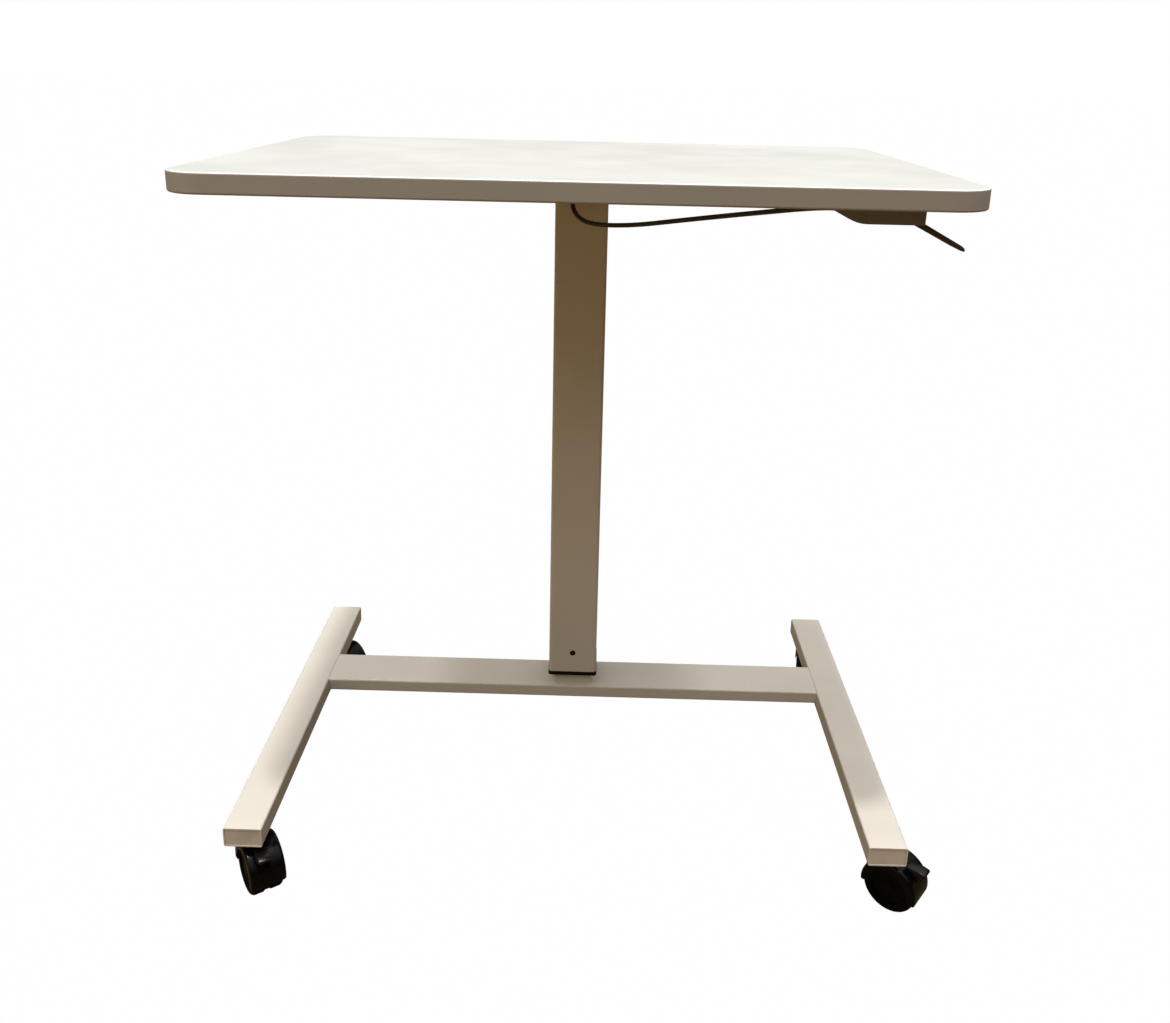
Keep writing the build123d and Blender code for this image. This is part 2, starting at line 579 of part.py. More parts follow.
def hand_lever():
    """Pressed paddle with a hub on the pin and a slotted lug that pulls the wire."""
    tip_x, tip_z = LEVER_TIP
    cx, cz = LEVER_CORNER
    slope = math.atan2(tip_z - cz, tip_x - cx)
    nx, nz = -math.sin(slope) * LEVER_T / 2, math.cos(slope) * LEVER_T / 2
    y0, y1 = HOUSING_MID_Y - LEVER_W / 2, HOUSING_MID_Y + LEVER_W / 2
    root_x, root_z = LEVER_X + 5.0, LEVER_Z - 5.5
    end_x, end_z = tip_x - 6.0, tip_z + 3.4
    paddle = extrude_xz(
        [
            (root_x - 2, root_z - 2.0),
            (cx - nx, cz - nz + 0.8),
            (end_x - nx, end_z - nz),
            (tip_x, tip_z - 0.6),
            (tip_x, tip_z + 1.4),
            (end_x + nx, end_z + nz),
            (cx + nx + 1.0, cz + nz + 1.4),
            (root_x + 2.5, root_z + 2.5),
        ],
        y0,
        y1,
    )
    plan = RectangleRounded(2 * (tip_x - LEVER_X), LEVER_W, 11.0)
    paddle &= Pos(LEVER_X, HOUSING_MID_Y, tip_z - 10) * extrude(plan, amount=60)
    hub = rod_y(2.6, HOUSING_MID_Y - 18.5, HOUSING_MID_Y + 18.5, LEVER_X, LEVER_Z)
    web = extrude_xz(
        [
            (LEVER_X - 1, LEVER_Z - 2.4),
            (LEVER_X + 2.4, LEVER_Z - 1),
            (root_x + 2.5, root_z + 2.5),
            (root_x - 2, root_z - 2),
        ],
        y0,
        y1,
    )
    lug = block(LEVER_X - 3.0, LEVER_X + 3.0, HOUSING_MID_Y - 6, HOUSING_MID_Y + 6, WIRE_END_Z - 2.6, LEVER_Z)
    lever = hub + web + paddle + lug
    lever -= rod_y(LEVER_PIN_R + 0.04, HOUSING_Y0, HOUSING_Y1, LEVER_X, LEVER_Z)
    # slot for the wire's barrel end
    lever -= block(
        LEVER_X - 0.6, LEVER_X + 12, HOUSING_MID_Y - 3.4, HOUSING_MID_Y + 3.4, WIRE_END_Z - 4.5, LEVER_Z - 2.3
    )
    return lever - block(
        LEVER_X - 6, LEVER_X + 1, HOUSING_MID_Y - 1.6, HOUSING_MID_Y + 1.6, WIRE_END_Z - 4.5, WIRE_END_Z + 1.8
    )


def release_wire_lever_end():
    """End of the inner wire, with the barrel that the hand lever pulls."""
    wire = rod_x(WIRE_R, CABLE_END_X + 1.5, LEVER_X + 1.5, HOUSING_MID_Y, WIRE_END_Z)
    return wire + rod_y(1.6, HOUSING_MID_Y - 2.9, HOUSING_MID_Y + 2.9, LEVER_X + 1.5, WIRE_END_Z)


def lever_cable_ferrule():
    """Metal ferrule that holds the sheath's end in the housing."""
    x0, x1 = FERRULE_X
    ferrule = rod_x(3.5, x0, x1, HOUSING_MID_Y, WIRE_END_Z)
    ferrule -= rod_x(CABLE_R + 0.02, x0 - 1, CABLE_END_X, HOUSING_MID_Y, WIRE_END_Z)
    return ferrule - rod_x(WIRE_R + 0.3, x0, x1 + 1, HOUSING_MID_Y, WIRE_END_Z)


# the cable's route between the boot and the ferrule: corner points of its free run
CABLE_ROUTE = [
    (-10.0, 43.5, 708.1),
    (-6.35, 33.4, 701.2),
    (0.6, 23.8, 696.1),
    (10.3, 15.7, 693.5),
    (28.1, 6.6, 693.0),
    (60.0, -13.0, 697.0),
    (100.0, -43.0, 706.8),
    (145.0, -81.0, 718.2),
    (180.0, -116.0, 727.5),
    (207.0, -150.0, 735.7),
    (225.0, -173.0, 740.0),
    (240.0, HOUSING_MID_Y, WIRE_END_Z),
]


def cable_points():
    """All points of the cable's route, from the boot's tip to its end in the ferrule."""
    start = boot_path()[-1]
    return [(start.X, start.Y - 0.03, start.Z - 0.025)] + CABLE_ROUTE + [(CABLE_END_X, HOUSING_MID_Y, WIRE_END_Z)]


def corner_radii(points):
    """The largest arc that each corner of a route has room for."""
    radii = []
    for before, here, after in zip(points, points[1:], points[2:]):
        run_in, run_out = Vector(here) - Vector(before), Vector(after) - Vector(here)
        turn = math.radians(run_in.get_angle(run_out))
        radii.append(0.45 * min(run_in.length, run_out.length) / math.tan(turn / 2))
    return radii


def release_cable():
    """Sheathed cable from the column to the hand lever, sagging under the top."""
    points = cable_points()
    radii = corner_radii(points)
    print("cable radii", [round(r, 1) for r in radii])
    path = FilletPolyline(*points, radius=radii)
    start = Vector(points[1]) - Vector(points[0])
    tube = sweep(Plane(points[0], z_dir=start) * Circle(CABLE_R), path=path)
    ideal = math.pi * CABLE_R**2 * path.length
    print(f"cable length {path.length:.1f}, volume {tube.volume:.0f} of {ideal:.0f}")
    return tube


# ---------------------------------------------------------------- casters
# Each is drawn with its stem on the Z axis and its wheels behind it, towards -Y, and is then turned.

STEM_FLANGE_T = 3.0
STEM_Z0 = 54.0
BOSS_R = 11.0
BOSS_Z1 = CASTER_H - STEM_FLANGE_T - 0.5
WEB_HALF, WEB_R = 3.0, 26.8
HOOD_R, HOOD_IN_R = 30.3, 28.7
HOOD_HALF, HOOD_LIP_IN = 18.75, 17.5
HOOD_LEAD, HOOD_TRAIL = -6.0, -12.0
AXLE_R = 3.0
AXLE_HALF = 13.5
WHEEL_IN_X = 3.5
BRAKE_PIN_R, BRAKE_ARM_HALF = 1.2, 1.3
BRAKE_TAB_X = (-10.5, 2.5)


def from_axle(distance, angle):
    """A point in Y and Z, given by its distance from the axle and its angle above the trailing side."""
    turn = math.radians(angle)
    return -TRAIL - distance * math.cos(turn), WHEEL_R + distance * math.sin(turn)


BRAKE_Y, BRAKE_Z = from_axle(18.0, 36.0)


def caster_stems():
    """Four threaded stems that screw up into the side tubes and carry the casters."""
    stems = []
    for corner in CASTER_YAW:
        x, y = stem_place(corner)
        stem = rod_z(STEM_R, STEM_Z0, LEG_Z0 + LEG_WALL + NUT_T + 3.0, x, y)
        flange = hexagon_z(17.0, CASTER_H - STEM_FLANGE_T, CASTER_H, x, y)
        stems.append(stem + flange)
    return Compound(stems)


def caster_hood(braked):
    """Caster body: a web between the wheels, a cover over them and a boss for the stem."""
    axle_y, axle_z = -TRAIL, WHEEL_R
    form = rod_x(HOOD_R, -HOOD_HALF, HOOD_HALF, axle_y, axle_z)
    form = fillet(form.edges().filter_by(GeomType.CIRCLE), 3.0)
    form += rod_z(BOSS_R, axle_z, BOSS_Z1)
    far = 80.0
    below = [
        (axle_y, axle_z),
        from_axle(far, 180 - HOOD_LEAD),
        (axle_y + far, -far),
        (axle_y - far, -far),
        from_axle(far, HOOD_TRAIL),
    ]
    hood = form - extrude_yz(below, -40, 40) + rod_x(WEB_R, -WEB_HALF, WEB_HALF, axle_y, axle_z)
    for x0, x1 in ((WEB_HALF, HOOD_LIP_IN), (-HOOD_LIP_IN, -WEB_HALF)):
        hood -= rod_x(HOOD_IN_R, x0, x1, axle_y, axle_z)
    for x0, x1 in ((HOOD_LIP_IN - 1, 40), (-40, 1 - HOOD_LIP_IN)):
        hood -= rod_x(21.0, x0, x1, axle_y, axle_z)
    hood -= rod_z(STEM_R + 0.05, STEM_Z0 - 0.3, BOSS_Z1 + 1)
    hood -= rod_x(AXLE_R, -10, 10, axle_y, axle_z)
    if braked:
        slot = [from_axle(*p) for p in ((13.0, 18), (13.0, 54), (22.0, 60), (40.0, 55), (40.0, 30), (22.0, 20))]
        hood -= extrude_yz(slot, -BRAKE_ARM_HALF - 0.4, BRAKE_ARM_HALF + 0.4)
        hood -= rod_x(BRAKE_PIN_R + 0.05, -10, 10, BRAKE_Y, BRAKE_Z)
    return hood


def caster_axle():
    """Steel pin through the web."""
    return rod_x(AXLE_R - 0.01, -AXLE_HALF, AXLE_HALF, -TRAIL, WHEEL_R)


def caster_wheel(side):
    """One solid wheel with a dished outer face and a blind bore."""
    inner, outer = WHEEL_IN_X, WHEEL_IN_X + WHEEL_W
    wheel = rod_x(WHEEL_R, inner, outer)
    edges = wheel.edges().filter_by(GeomType.CIRCLE).sort_by(Axis.X)
    wheel = fillet(edges[-1:], 4.8)
    wheel = fillet(wheel.edges().filter_by(GeomType.CIRCLE).sort_by(Axis.X)[:1], 1.0)
    dish = rod_x(18.5, outer - 2.0, outer + 1) - rod_x(7.0, outer - 3, outer - 0.6)
    wheel -= dish
    wheel -= rod_x(21.0, inner - 1, inner + 2.5) - rod_x(6.5, inner - 2, inner + 4)
    wheel -= rod_x(AXLE_R + 0.06, inner - 1, AXLE_HALF + 0.4)
    wheel = wheel if side == "right" else mirror(wheel, about=Plane.YZ)
    return Pos(0, -TRAIL, WHEEL_R) * wheel


def brake_lever():
    """Foot tab on its pin: an arm through the hood's slot, with a small cam under the pin."""
    half = BRAKE_ARM_HALF
    hub = rod_x(3.0, -half, half, BRAKE_Y, BRAKE_Z)
    arm = extrude_yz([from_axle(*p) for p in ((18.0, 27), (18.0, 45), (32.3, 49), (32.6, 38))], -half, half)
    cam = extrude_yz([from_axle(*p) for p in ((18.0, 27), (14.6, 30), (14.4, 40), (18.0, 45))], -half, half)
    # the tab's side profile: distance behind the axle and height above it
    outline = [
        (14.0, 28.6), (15.0, 32.0), (28.0, 32.4), (34.0, 31.6), (35.6, 30.0), (34.6, 27.6),
        (30.5, 25.0), (27.0, 18.0), (24.5, 20.2), (21.0, 24.0), (17.5, 26.6),
    ]
    tab = extrude_yz([(-TRAIL - back, WHEEL_R + up) for back, up in outline], *BRAKE_TAB_X)
    lever = hub + arm + cam + tab - rod_x(BRAKE_PIN_R + 0.02, -5, 5, BRAKE_Y, BRAKE_Z)
    pin = rod_x(BRAKE_PIN_R, 0.1 - WEB_HALF, WEB_HALF - 0.1, BRAKE_Y, BRAKE_Z)
    return Compound([lever, pin])


# ---------------------------------------------------------------- all parts


def fixed_parts():
    """Nodes that are drawn straight in the table's own frame."""
    parts = {
        "left_leg_tube": leg("left"),
        "right_leg_tube": leg("right"),
        "crossbar_tube": crossbar(),
        "leg_weld_nuts": leg_weld_nuts(),
        "caster_stems": caster_stems(),
        "inner_column": inner_column(),
        "column_foot_plate": column_foot_plate(),
        "column_bolts": column_bolts(),
        "upper_guide": upper_guide(),
        "gas_spring_cylinder": gas_spring_cylinder(),
        "gas_spring_gland": gas_spring_gland(),
        "gas_spring_anchor_pin": gas_spring_anchor_pin(),
        "outer_column": outer_column(),
        "lower_guide": lower_guide(),
        "guide_screws": guide_screws(),
        "top_plate": top_plate(),
        "plate_gussets": plate_gussets(),
        "plate_screws": plate_screws(),
        "tabletop_core": tabletop_core(),
        "tabletop_backing": tabletop_backing(),
        "tabletop_laminate": tabletop_laminate(),
        "tabletop_edge_band": tabletop_edge_band(),
        "gas_spring_rod": gas_spring_rod(),
        "gas_spring_piston": gas_spring_piston(),
        "rod_lock_nut": rod_lock_nut(),
        "release_head": release_head(),
        "crank_pivot_pin": crank_pivot_pin(),
        "release_crank": release_crank(),
        "release_valve_pin": release_valve_pin(),
        "release_wire_crank_end": release_wire_crank_end(),
        "column_cable_boot": column_cable_boot(),
        "release_cable": release_cable(),
        "lever_housing": lever_housing(),
        "lever_housing_screws": lever_housing_screws(),
        "lever_pivot_pin": lever_pivot_pin(),
        "hand_lever": hand_lever(),
        "lever_cable_ferrule": lever_cable_ferrule(),
        "release_wire_lever_end": release_wire_lever_end(),
    }
    for corner in CASTER_YAW:
        parts[f"leg_end_cap_{corner}"] = leg_end_cap(corner)
    return parts


def caster_parts():
    """Nodes of the four casters, turned and set on their stems."""
    parts = {}
    for corner, yaw in CASTER_YAW.items():
        braked = corner.startswith("front")
        x, y = stem_place(corner)
        place = Pos(x, y, 0) * Rot(Z=yaw)
        parts[f"caster_hood_{corner}"] = place * caster_hood(braked)
        parts[f"caster_axle_{corner}"] = place * caster_axle()
        for side in ("left", "right"):
            parts[f"caster_wheel_{corner}_{side}"] = place * caster_wheel(side)
        if braked:
            parts[f"brake_lever_{corner}"] = place * brake_lever()
    return parts


def main():
    os.makedirs("parts", exist_ok=True)
    for name, shape in {**fixed_parts(), **caster_parts()}.items():
        export_step(Pos(*ORIGIN_SHIFT, 0) * shape, f"parts/{name}.step")


if __name__ == "__main__":
    main()
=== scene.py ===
import json
import math

import bmesh
import bpy
from mathutils import Matrix, Vector

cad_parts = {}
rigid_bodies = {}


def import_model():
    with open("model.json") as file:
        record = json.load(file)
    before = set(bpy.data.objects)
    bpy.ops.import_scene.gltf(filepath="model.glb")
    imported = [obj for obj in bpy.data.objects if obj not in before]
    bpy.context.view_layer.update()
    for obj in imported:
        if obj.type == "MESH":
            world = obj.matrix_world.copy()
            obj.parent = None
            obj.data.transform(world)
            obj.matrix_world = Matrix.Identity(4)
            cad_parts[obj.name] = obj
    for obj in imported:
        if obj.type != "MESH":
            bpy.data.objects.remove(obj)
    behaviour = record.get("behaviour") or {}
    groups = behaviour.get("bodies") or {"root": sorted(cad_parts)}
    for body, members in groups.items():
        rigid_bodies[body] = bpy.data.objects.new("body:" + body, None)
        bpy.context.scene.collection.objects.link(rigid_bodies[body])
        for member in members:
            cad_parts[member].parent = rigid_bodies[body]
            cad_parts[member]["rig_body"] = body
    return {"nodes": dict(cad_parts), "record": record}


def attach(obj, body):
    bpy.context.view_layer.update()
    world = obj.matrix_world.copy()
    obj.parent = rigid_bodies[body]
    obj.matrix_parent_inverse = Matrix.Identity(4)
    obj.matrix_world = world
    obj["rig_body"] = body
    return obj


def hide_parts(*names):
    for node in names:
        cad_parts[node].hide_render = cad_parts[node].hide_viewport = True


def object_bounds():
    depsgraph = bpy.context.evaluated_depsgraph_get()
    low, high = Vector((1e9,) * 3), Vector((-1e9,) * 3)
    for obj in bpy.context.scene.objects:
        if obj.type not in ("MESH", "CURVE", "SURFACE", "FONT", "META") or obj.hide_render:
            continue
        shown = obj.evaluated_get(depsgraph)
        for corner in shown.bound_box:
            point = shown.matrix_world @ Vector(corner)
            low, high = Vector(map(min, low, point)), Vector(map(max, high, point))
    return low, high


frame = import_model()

CAD_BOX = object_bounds()
TOP_Z = CAD_BOX[1][2]
CORNERS = ("front_left", "front_right", "rear_left", "rear_right")

# where the middle of the base is, from the frame's origin under the middle of the whole table
ORIGIN_SHIFT = Vector((-15.0, -7.0, 0.0))


def mm(*point):
    """Millimetres, measured from the middle of the base, to metres of the shared frame."""
    return (Vector(point) + ORIGIN_SHIFT) / 1000.0


# ---------------------------------------------------------------- camera

CAMERA_AT = mm(19.9, -1099.7, 854.3)
CAMERA_YAW, CAMERA_PITCH, CAMERA_ROLL = -0.0107, -0.2776, 0.0223
SENSOR_MM, LENS_MM = 36.0, 31.84615
SHIFT_Y = -0.1267


def add_camera():
    """Viewpoint in front of the table and a little above its top, looking down, with a slight roll."""
    cy, sy = math.cos(CAMERA_YAW), math.sin(CAMERA_YAW)
    cp, sp = math.cos(CAMERA_PITCH), math.sin(CAMERA_PITCH)
    forward = Vector((sy * cp, cy * cp, sp))
    level = Vector((cy, -sy, 0.0))
    upward = level.cross(forward)
    c, s = math.cos(CAMERA_ROLL), math.sin(CAMERA_ROLL)
    right = c * level + s * upward
    up = -s * level + c * upward
    data = bpy.data.cameras.new("camera")
    data.sensor_fit = "HORIZONTAL"
    data.sensor_width, data.lens = SENSOR_MM, LENS_MM
    data.shift_y = SHIFT_Y
    data.clip_start, data.clip_end = 0.05, 200.0
    camera = bpy.data.objects.new("camera", data)
    turn = Matrix((right, up, -forward)).transposed().to_4x4()
    camera.matrix_world = Matrix.Translation(CAMERA_AT) @ turn
    bpy.context.scene.collection.objects.link(camera)
    bpy.context.scene.camera = camera


add_camera()


# ---------------------------------------------------------------- material helpers


class Finish:
    """A procedural material built up node by node. Lengths in its patterns are metres of the frame."""

    def __init__(self, name, color, roughness, metallic=0.0, specular=0.5):
        self.mat = bpy.data.materials.new(name)
        self.mat.use_nodes = True
        self.tree = self.mat.node_tree
        self.shader = self.tree.nodes["Principled BSDF"]
        self.place = self.tree.nodes.new("ShaderNodeTexCoord").outputs["Object"]
        self.shader.inputs["Base Color"].default_value = (*color, 1.0)
        self.shader.inputs["Roughness"].default_value = roughness
        self.shader.inputs["Metallic"].default_value = metallic
        self.shader.inputs["Specular IOR Level"].default_value = specular

    def node(self, kind, **values):
        """A new node of a kind, with its properties set."""
        made = self.tree.nodes.new(kind)
        for key, value in values.items():
            setattr(made, key, value)
        return made

    def link(self, a, b):
        self.tree.links.new(a, b)

    def stretched(self, scale):
        """Object coordinates stretched by a factor along each axis."""
        mapping = self.node("ShaderNodeMapping")
        mapping.inputs["Scale"].default_value = scale
        self.link(self.place, mapping.inputs["Vector"])
        return mapping.outputs["Vector"]

    def noise(self, size, detail=3.0, harsh=0.55, stretch=None):
        """Noise whose blotches are about `size` metres across."""
        made = self.node("ShaderNodeTexNoise")
        made.inputs["Scale"].default_value = 1.0 / size
        made.inputs["Detail"].default_value = detail
        made.inputs["Roughness"].default_value = harsh
        self.link(self.stretched(stretch) if stretch else self.place, made.inputs["Vector"])
        return made.outputs["Fac"]

    def cells(self, size):
        """Distance from the middles of cells about `size` metres across."""
        made = self.node("ShaderNodeTexVoronoi", feature="F1")
        made.inputs["Scale"].default_value = 1.0 / size
        self.link(self.place, made.inputs["Vector"])
        return made.outputs["Distance"]

    def spread(self, value, low, high, to_low=0.0, to_high=1.0):
        """Maps a value's range to another, smoothly clamped."""
        made = self.node("ShaderNodeMapRange", interpolation_type="SMOOTHSTEP")
        for key, number in (("From Min", low), ("From Max", high), ("To Min", to_low), ("To Max", to_high)):
            made.inputs[key].default_value = number
        self.link(value, made.inputs["Value"])
        return made.outputs["Result"]

    def tint(self, mask, color):
        """Mixes another colour over the base colour where the mask is 1."""
        mix = self.node("ShaderNodeMix", data_type="RGBA")
        mask_in, color_a, color_b = mix.inputs[0], mix.inputs[6], mix.inputs[7]
        socket = self.shader.inputs["Base Color"]
        if socket.is_linked:
            self.link(socket.links[0].from_socket, color_a)
        else:
            color_a.default_value = socket.default_value
        color_b.default_value = (*color, 1.0)
        self.link(mask, mask_in)
        self.link(mix.outputs[2], socket)

    def rough(self, mask, low, high):
        """Roughness that runs from low to high with the mask."""
        self.link(self.spread(mask, 0.3, 0.7, low, high), self.shader.inputs["Roughness"])

    def bump(self, height, depth, strength=1.0):
        """Adds relief: the height signal times a depth in metres."""
        made = self.node("ShaderNodeBump")
        made.inputs["Strength"].default_value = strength
        made.inputs["Distance"].default_value = depth
        self.link(height, made.inputs["Height"])
        socket = self.shader.inputs["Normal"]
        if socket.is_linked:
            self.link(socket.links[0].from_socket, made.inputs["Normal"])
        self.link(made.outputs["Normal"], socket)


def shade(color, factor):
    """A lighter or darker version of a colour."""
    return tuple(min(1.0, c * factor) for c in color)


def powder_coat(name, color, roughness=0.42):
    """Semi-gloss powder coat: orange peel, faint cloudiness and a few dull rubbed patches."""
    finish = Finish(name, color, roughness)
    finish.tint(finish.spread(finish.noise(0.16, 4), 0.35, 0.75), shade(color, 0.93))
    finish.tint(finish.spread(finish.noise(0.011, 2), 0.62, 0.8, 0.0, 0.35), shade(color, 1.07))
    finish.rough(finish.noise(0.05, 4), roughness - 0.05, roughness + 0.09)
    finish.bump(finish.noise(0.0016, 2, 0.5), 0.00005, 0.35)
    finish.bump(finish.noise(0.02, 2), 0.00012, 0.2)
    return finish.mat


def moulded(name, color, roughness=0.4, grain=0.0005, depth=0.00003, dust=1.25, specular=0.5):
    """Injection-moulded plastic: fine grain, slight flow marks and a little dust."""
    finish = Finish(name, color, roughness, specular=specular)
    finish.tint(finish.spread(finish.noise(0.03, 4), 0.4, 0.8), shade(color, 0.8))
    finish.tint(finish.spread(finish.noise(0.004, 5), 0.58, 0.78, 0.0, 0.5), shade(color, dust))
    finish.rough(finish.noise(0.012, 4), roughness - 0.07, roughness + 0.1)
    finish.bump(finish.cells(grain), depth, 0.5)
    return finish.mat


def bare_metal(name, color, roughness, grain=(1.0, 1.0, 1.0), size=0.0012):
    """Ground, plated or cast metal, with a grain that can run one way."""
    finish = Finish(name, color, roughness, metallic=1.0)
    finish.tint(finish.spread(finish.noise(0.006, 4), 0.4, 0.75), shade(color, 0.82))
    lines = finish.noise(size, 4, 0.6, grain)
    finish.rough(lines, max(0.05, roughness - 0.08), roughness + 0.12)
    finish.bump(lines, 0.00003, 0.35)
    return finish.mat


# ---------------------------------------------------------------- materials

PAINT = (0.66, 0.605, 0.535)
CASTER_BLACK = (0.0018, 0.0018, 0.0018)
BAND_BEIGE = (0.40, 0.365, 0.325)
# painted highlight on the edge band: its colour, and the depths below the top where it starts and where it
# is full; it stands in for the light that the band's rounded upper edge catches
PAINTED_HIGHLIGHT_WHITE = (0.86, 0.855, 0.82)
PAINTED_HIGHLIGHT_BELOW_TOP = (0.0011, 0.0005)


def laminate():
    """Off-white laminate: fine pearl relief and faint speckle."""
    finish = Finish("laminate", (0.675, 0.68, 0.65), 0.36)
    finish.tint(finish.spread(finish.noise(0.30, 3), 0.35, 0.75, 0.0, 0.5), (0.665, 0.67, 0.64))
    finish.tint(finish.spread(finish.noise(0.0011, 3), 0.62, 0.72, 0.0, 0.3), (0.64, 0.64, 0.605))
    finish.rough(finish.noise(0.12, 5, 0.6), 0.33, 0.41)
    finish.bump(finish.noise(0.0009, 2, 0.5), 0.00004, 0.25)
    return finish.mat


def edge_banding():
    """Extruded edge band: beige, satin, with fine lines along it and a painted highlight, a white line
    along its upper lip.
    """
    finish = Finish("edge_banding", BAND_BEIGE, 0.38)
    finish.tint(finish.spread(finish.noise(0.12, 4), 0.35, 0.75), shade(BAND_BEIGE, 0.94))
    lines = finish.noise(0.0009, 2, 0.5, (0.02, 0.02, 1.0))
    finish.tint(finish.spread(lines, 0.55, 0.8, 0.0, 0.35), shade(BAND_BEIGE, 1.08))
    parts = finish.node("ShaderNodeSeparateXYZ")
    finish.link(finish.place, parts.inputs[0])
    # painted highlight: the band turns white over its upper lip, from the first depth below the top to the
    # second
    highlight_starts, highlight_full = (TOP_Z - below for below in PAINTED_HIGHLIGHT_BELOW_TOP)
    finish.tint(finish.spread(parts.outputs["Z"], highlight_starts, highlight_full), PAINTED_HIGHLIGHT_WHITE)
    finish.rough(finish.noise(0.03, 4), 0.32, 0.46)
    finish.bump(lines, 0.00003, 0.3)
    return finish.mat


def chipboard():
    """Pressed wood chips."""
    color = (0.60, 0.52, 0.40)
    finish = Finish("chipboard", color, 0.7)
    chips = finish.cells(0.004)
    finish.tint(finish.spread(chips, 0.2, 0.7, 0.0, 0.7), shade(color, 0.72))
    finish.tint(finish.spread(finish.noise(0.0018, 4), 0.5, 0.75, 0.0, 0.7), shade(color, 1.2))
    finish.rough(finish.noise(0.01, 4), 0.6, 0.8)
    finish.bump(chips, 0.0002, 0.4)
    return finish.mat


def cable_sheath():
    """Smooth extruded sheath with a faint uneven sheen."""
    finish = Finish("cable_sheath", (0.030, 0.023, 0.018), 0.36)
    finish.tint(finish.spread(finish.noise(0.006, 4), 0.45, 0.75), (0.045, 0.036, 0.028))
    finish.rough(finish.noise(0.004, 4), 0.3, 0.48)
    finish.bump(finish.noise(0.0007, 2), 0.00004, 0.4)
    return finish.mat


def tyre():
    """Hard tread, scuffed and a little dusty."""
    finish = Finish("tread", (0.002, 0.002, 0.002), 0.42, specular=0.08)
    finish.tint(finish.spread(finish.noise(0.004, 5, 0.65), 0.54, 0.74, 0.0, 0.5), (0.007, 0.0065, 0.006))
    finish.rough(finish.noise(0.003, 5), 0.4, 0.62)
    finish.bump(finish.noise(0.0012, 4), 0.00008, 0.5)
    return finish.mat


def backing_sheet():
    """Matt phenolic sheet with a faint woven mark and glue mottling."""
    color = (0.56, 0.53, 0.48)
    finish = Finish("backing_sheet", color, 0.6)
    finish.tint(finish.spread(finish.noise(0.09, 5), 0.4, 0.75), shade(color, 0.9))
    weave = finish.cells(0.0012)
    finish.tint(finish.spread(weave, 0.3, 0.7, 0.0, 0.3), shade(color, 1.08))
    finish.rough(finish.noise(0.03, 4), 0.54, 0.68)
    finish.bump(weave, 0.00004, 0.3)
    return finish.mat


FINISHES = {
    "frame_paint": powder_coat("frame_paint", PAINT),
    "end_cap_plastic": moulded("end_cap_plastic", (0.60, 0.52, 0.44), 0.48, dust=1.05),
    "zinc_plated_steel": bare_metal("zinc_plated_steel", (0.62, 0.61, 0.57), 0.34, size=0.0025),
    "guide_plastic": moulded("guide_plastic", (0.004, 0.004, 0.004), 0.42, specular=0.2),
    "gas_spring_paint": powder_coat("gas_spring_paint", (0.03, 0.03, 0.03), 0.3),
    "cast_alloy": bare_metal("cast_alloy", (0.56, 0.56, 0.55), 0.5, size=0.0009),
    "rod_chrome": bare_metal("rod_chrome", (0.78, 0.78, 0.79), 0.12, (1.0, 1.0, 0.1)),
    "pin_steel": bare_metal("pin_steel", (0.56, 0.55, 0.53), 0.3, (0.1, 0.1, 1.0)),
    "black_screw": bare_metal("black_screw", (0.05, 0.048, 0.045), 0.4, size=0.0006),
    "chipboard": chipboard(),
    "backing_sheet": backing_sheet(),
    "laminate": laminate(),
    "edge_band": edge_banding(),
    "boot_rubber": moulded("boot_rubber", (0.022, 0.018, 0.015), 0.6, 0.0004, 0.00004),
    "cable_sheath": cable_sheath(),
    "housing_plastic": moulded("housing_plastic", (0.225, 0.205, 0.200), 0.55, specular=0.3),
    "lever_plastic": moulded("lever_plastic", (0.080, 0.058, 0.044), 0.5, specular=0.3),
    "caster_hood_plastic": moulded("caster_hood_plastic", CASTER_BLACK, 0.26, dust=1.5, specular=0.15),
    "caster_tread": tyre(),
    "brake_plastic": moulded("brake_plastic", (0.004, 0.004, 0.004), 0.24, dust=1.5, specular=0.3),
}
SLOT_OF = {part["node"]: part["material_slot"] for part in frame["record"]["subparts"]}


def dress(piece, slot):
    """Gives a piece one finish in every one of its material slots."""
    if not piece.material_slots:
        piece.data.materials.append(FINISHES[slot])
    for index in range(len(piece.data.materials)):
        piece.data.materials[index] = FINISHES[slot]


for node_name, node_object in frame["nodes"].items():
    dress(node_object, SLOT_OF[node_name])


# ---------------------------------------------------------------- finer pieces that stand for CAD nodes

# edges sharper than SHARP are rounded, and facets flatter than FLAT to each other are merged first
SHARP, FLAT = math.radians(38.0), math.radians(0.4)
# how far each node's sharp edges are cut back, in metres
EDGE_ROUNDING = {
    "lever_housing": 0.0006,
    "hand_lever": 0.0005,
    "lower_guide": 0.0004,
    "top_plate": 0.0005,
    "release_head": 0.0004,
    "brake_lever_front_left": 0.0005,
    "brake_lever_front_right": 0.0005,
    **{"caster_hood_" + corner: 0.0004 for corner in CORNERS},
}


def softened(node, width):
    """Stands a copy of a CAD node with its sharp edges rounded in for the node."""
    mesh = frame["nodes"][node].data.copy()
    bm = bmesh.new()
    bm.from_mesh(mesh)
    bmesh.ops.remove_doubles(bm, verts=bm.verts, dist=1e-6)
    bmesh.ops.dissolve_limit(bm, angle_limit=FLAT, verts=bm.verts, edges=bm.edges)
    sharp = [edge for edge in bm.edges if len(edge.link_faces) == 2 and edge.calc_face_angle(0.0) > SHARP]
    bmesh.ops.bevel(bm, geom=sharp, offset=width, segments=2, profile=0.5, affect="EDGES")
    smoothed(bm, mesh, SHARP)
    stand_in(mesh, node)


def smoothed(bm, mesh, sharp_angle):
    """Writes a finished bmesh to its mesh, smooth but for the edges sharper than an angle."""
    bm.to_mesh(mesh)
    bm.free()
    for face in mesh.polygons:
        face.use_smooth = True
    mesh.set_sharp_from_angle(angle=sharp_angle)


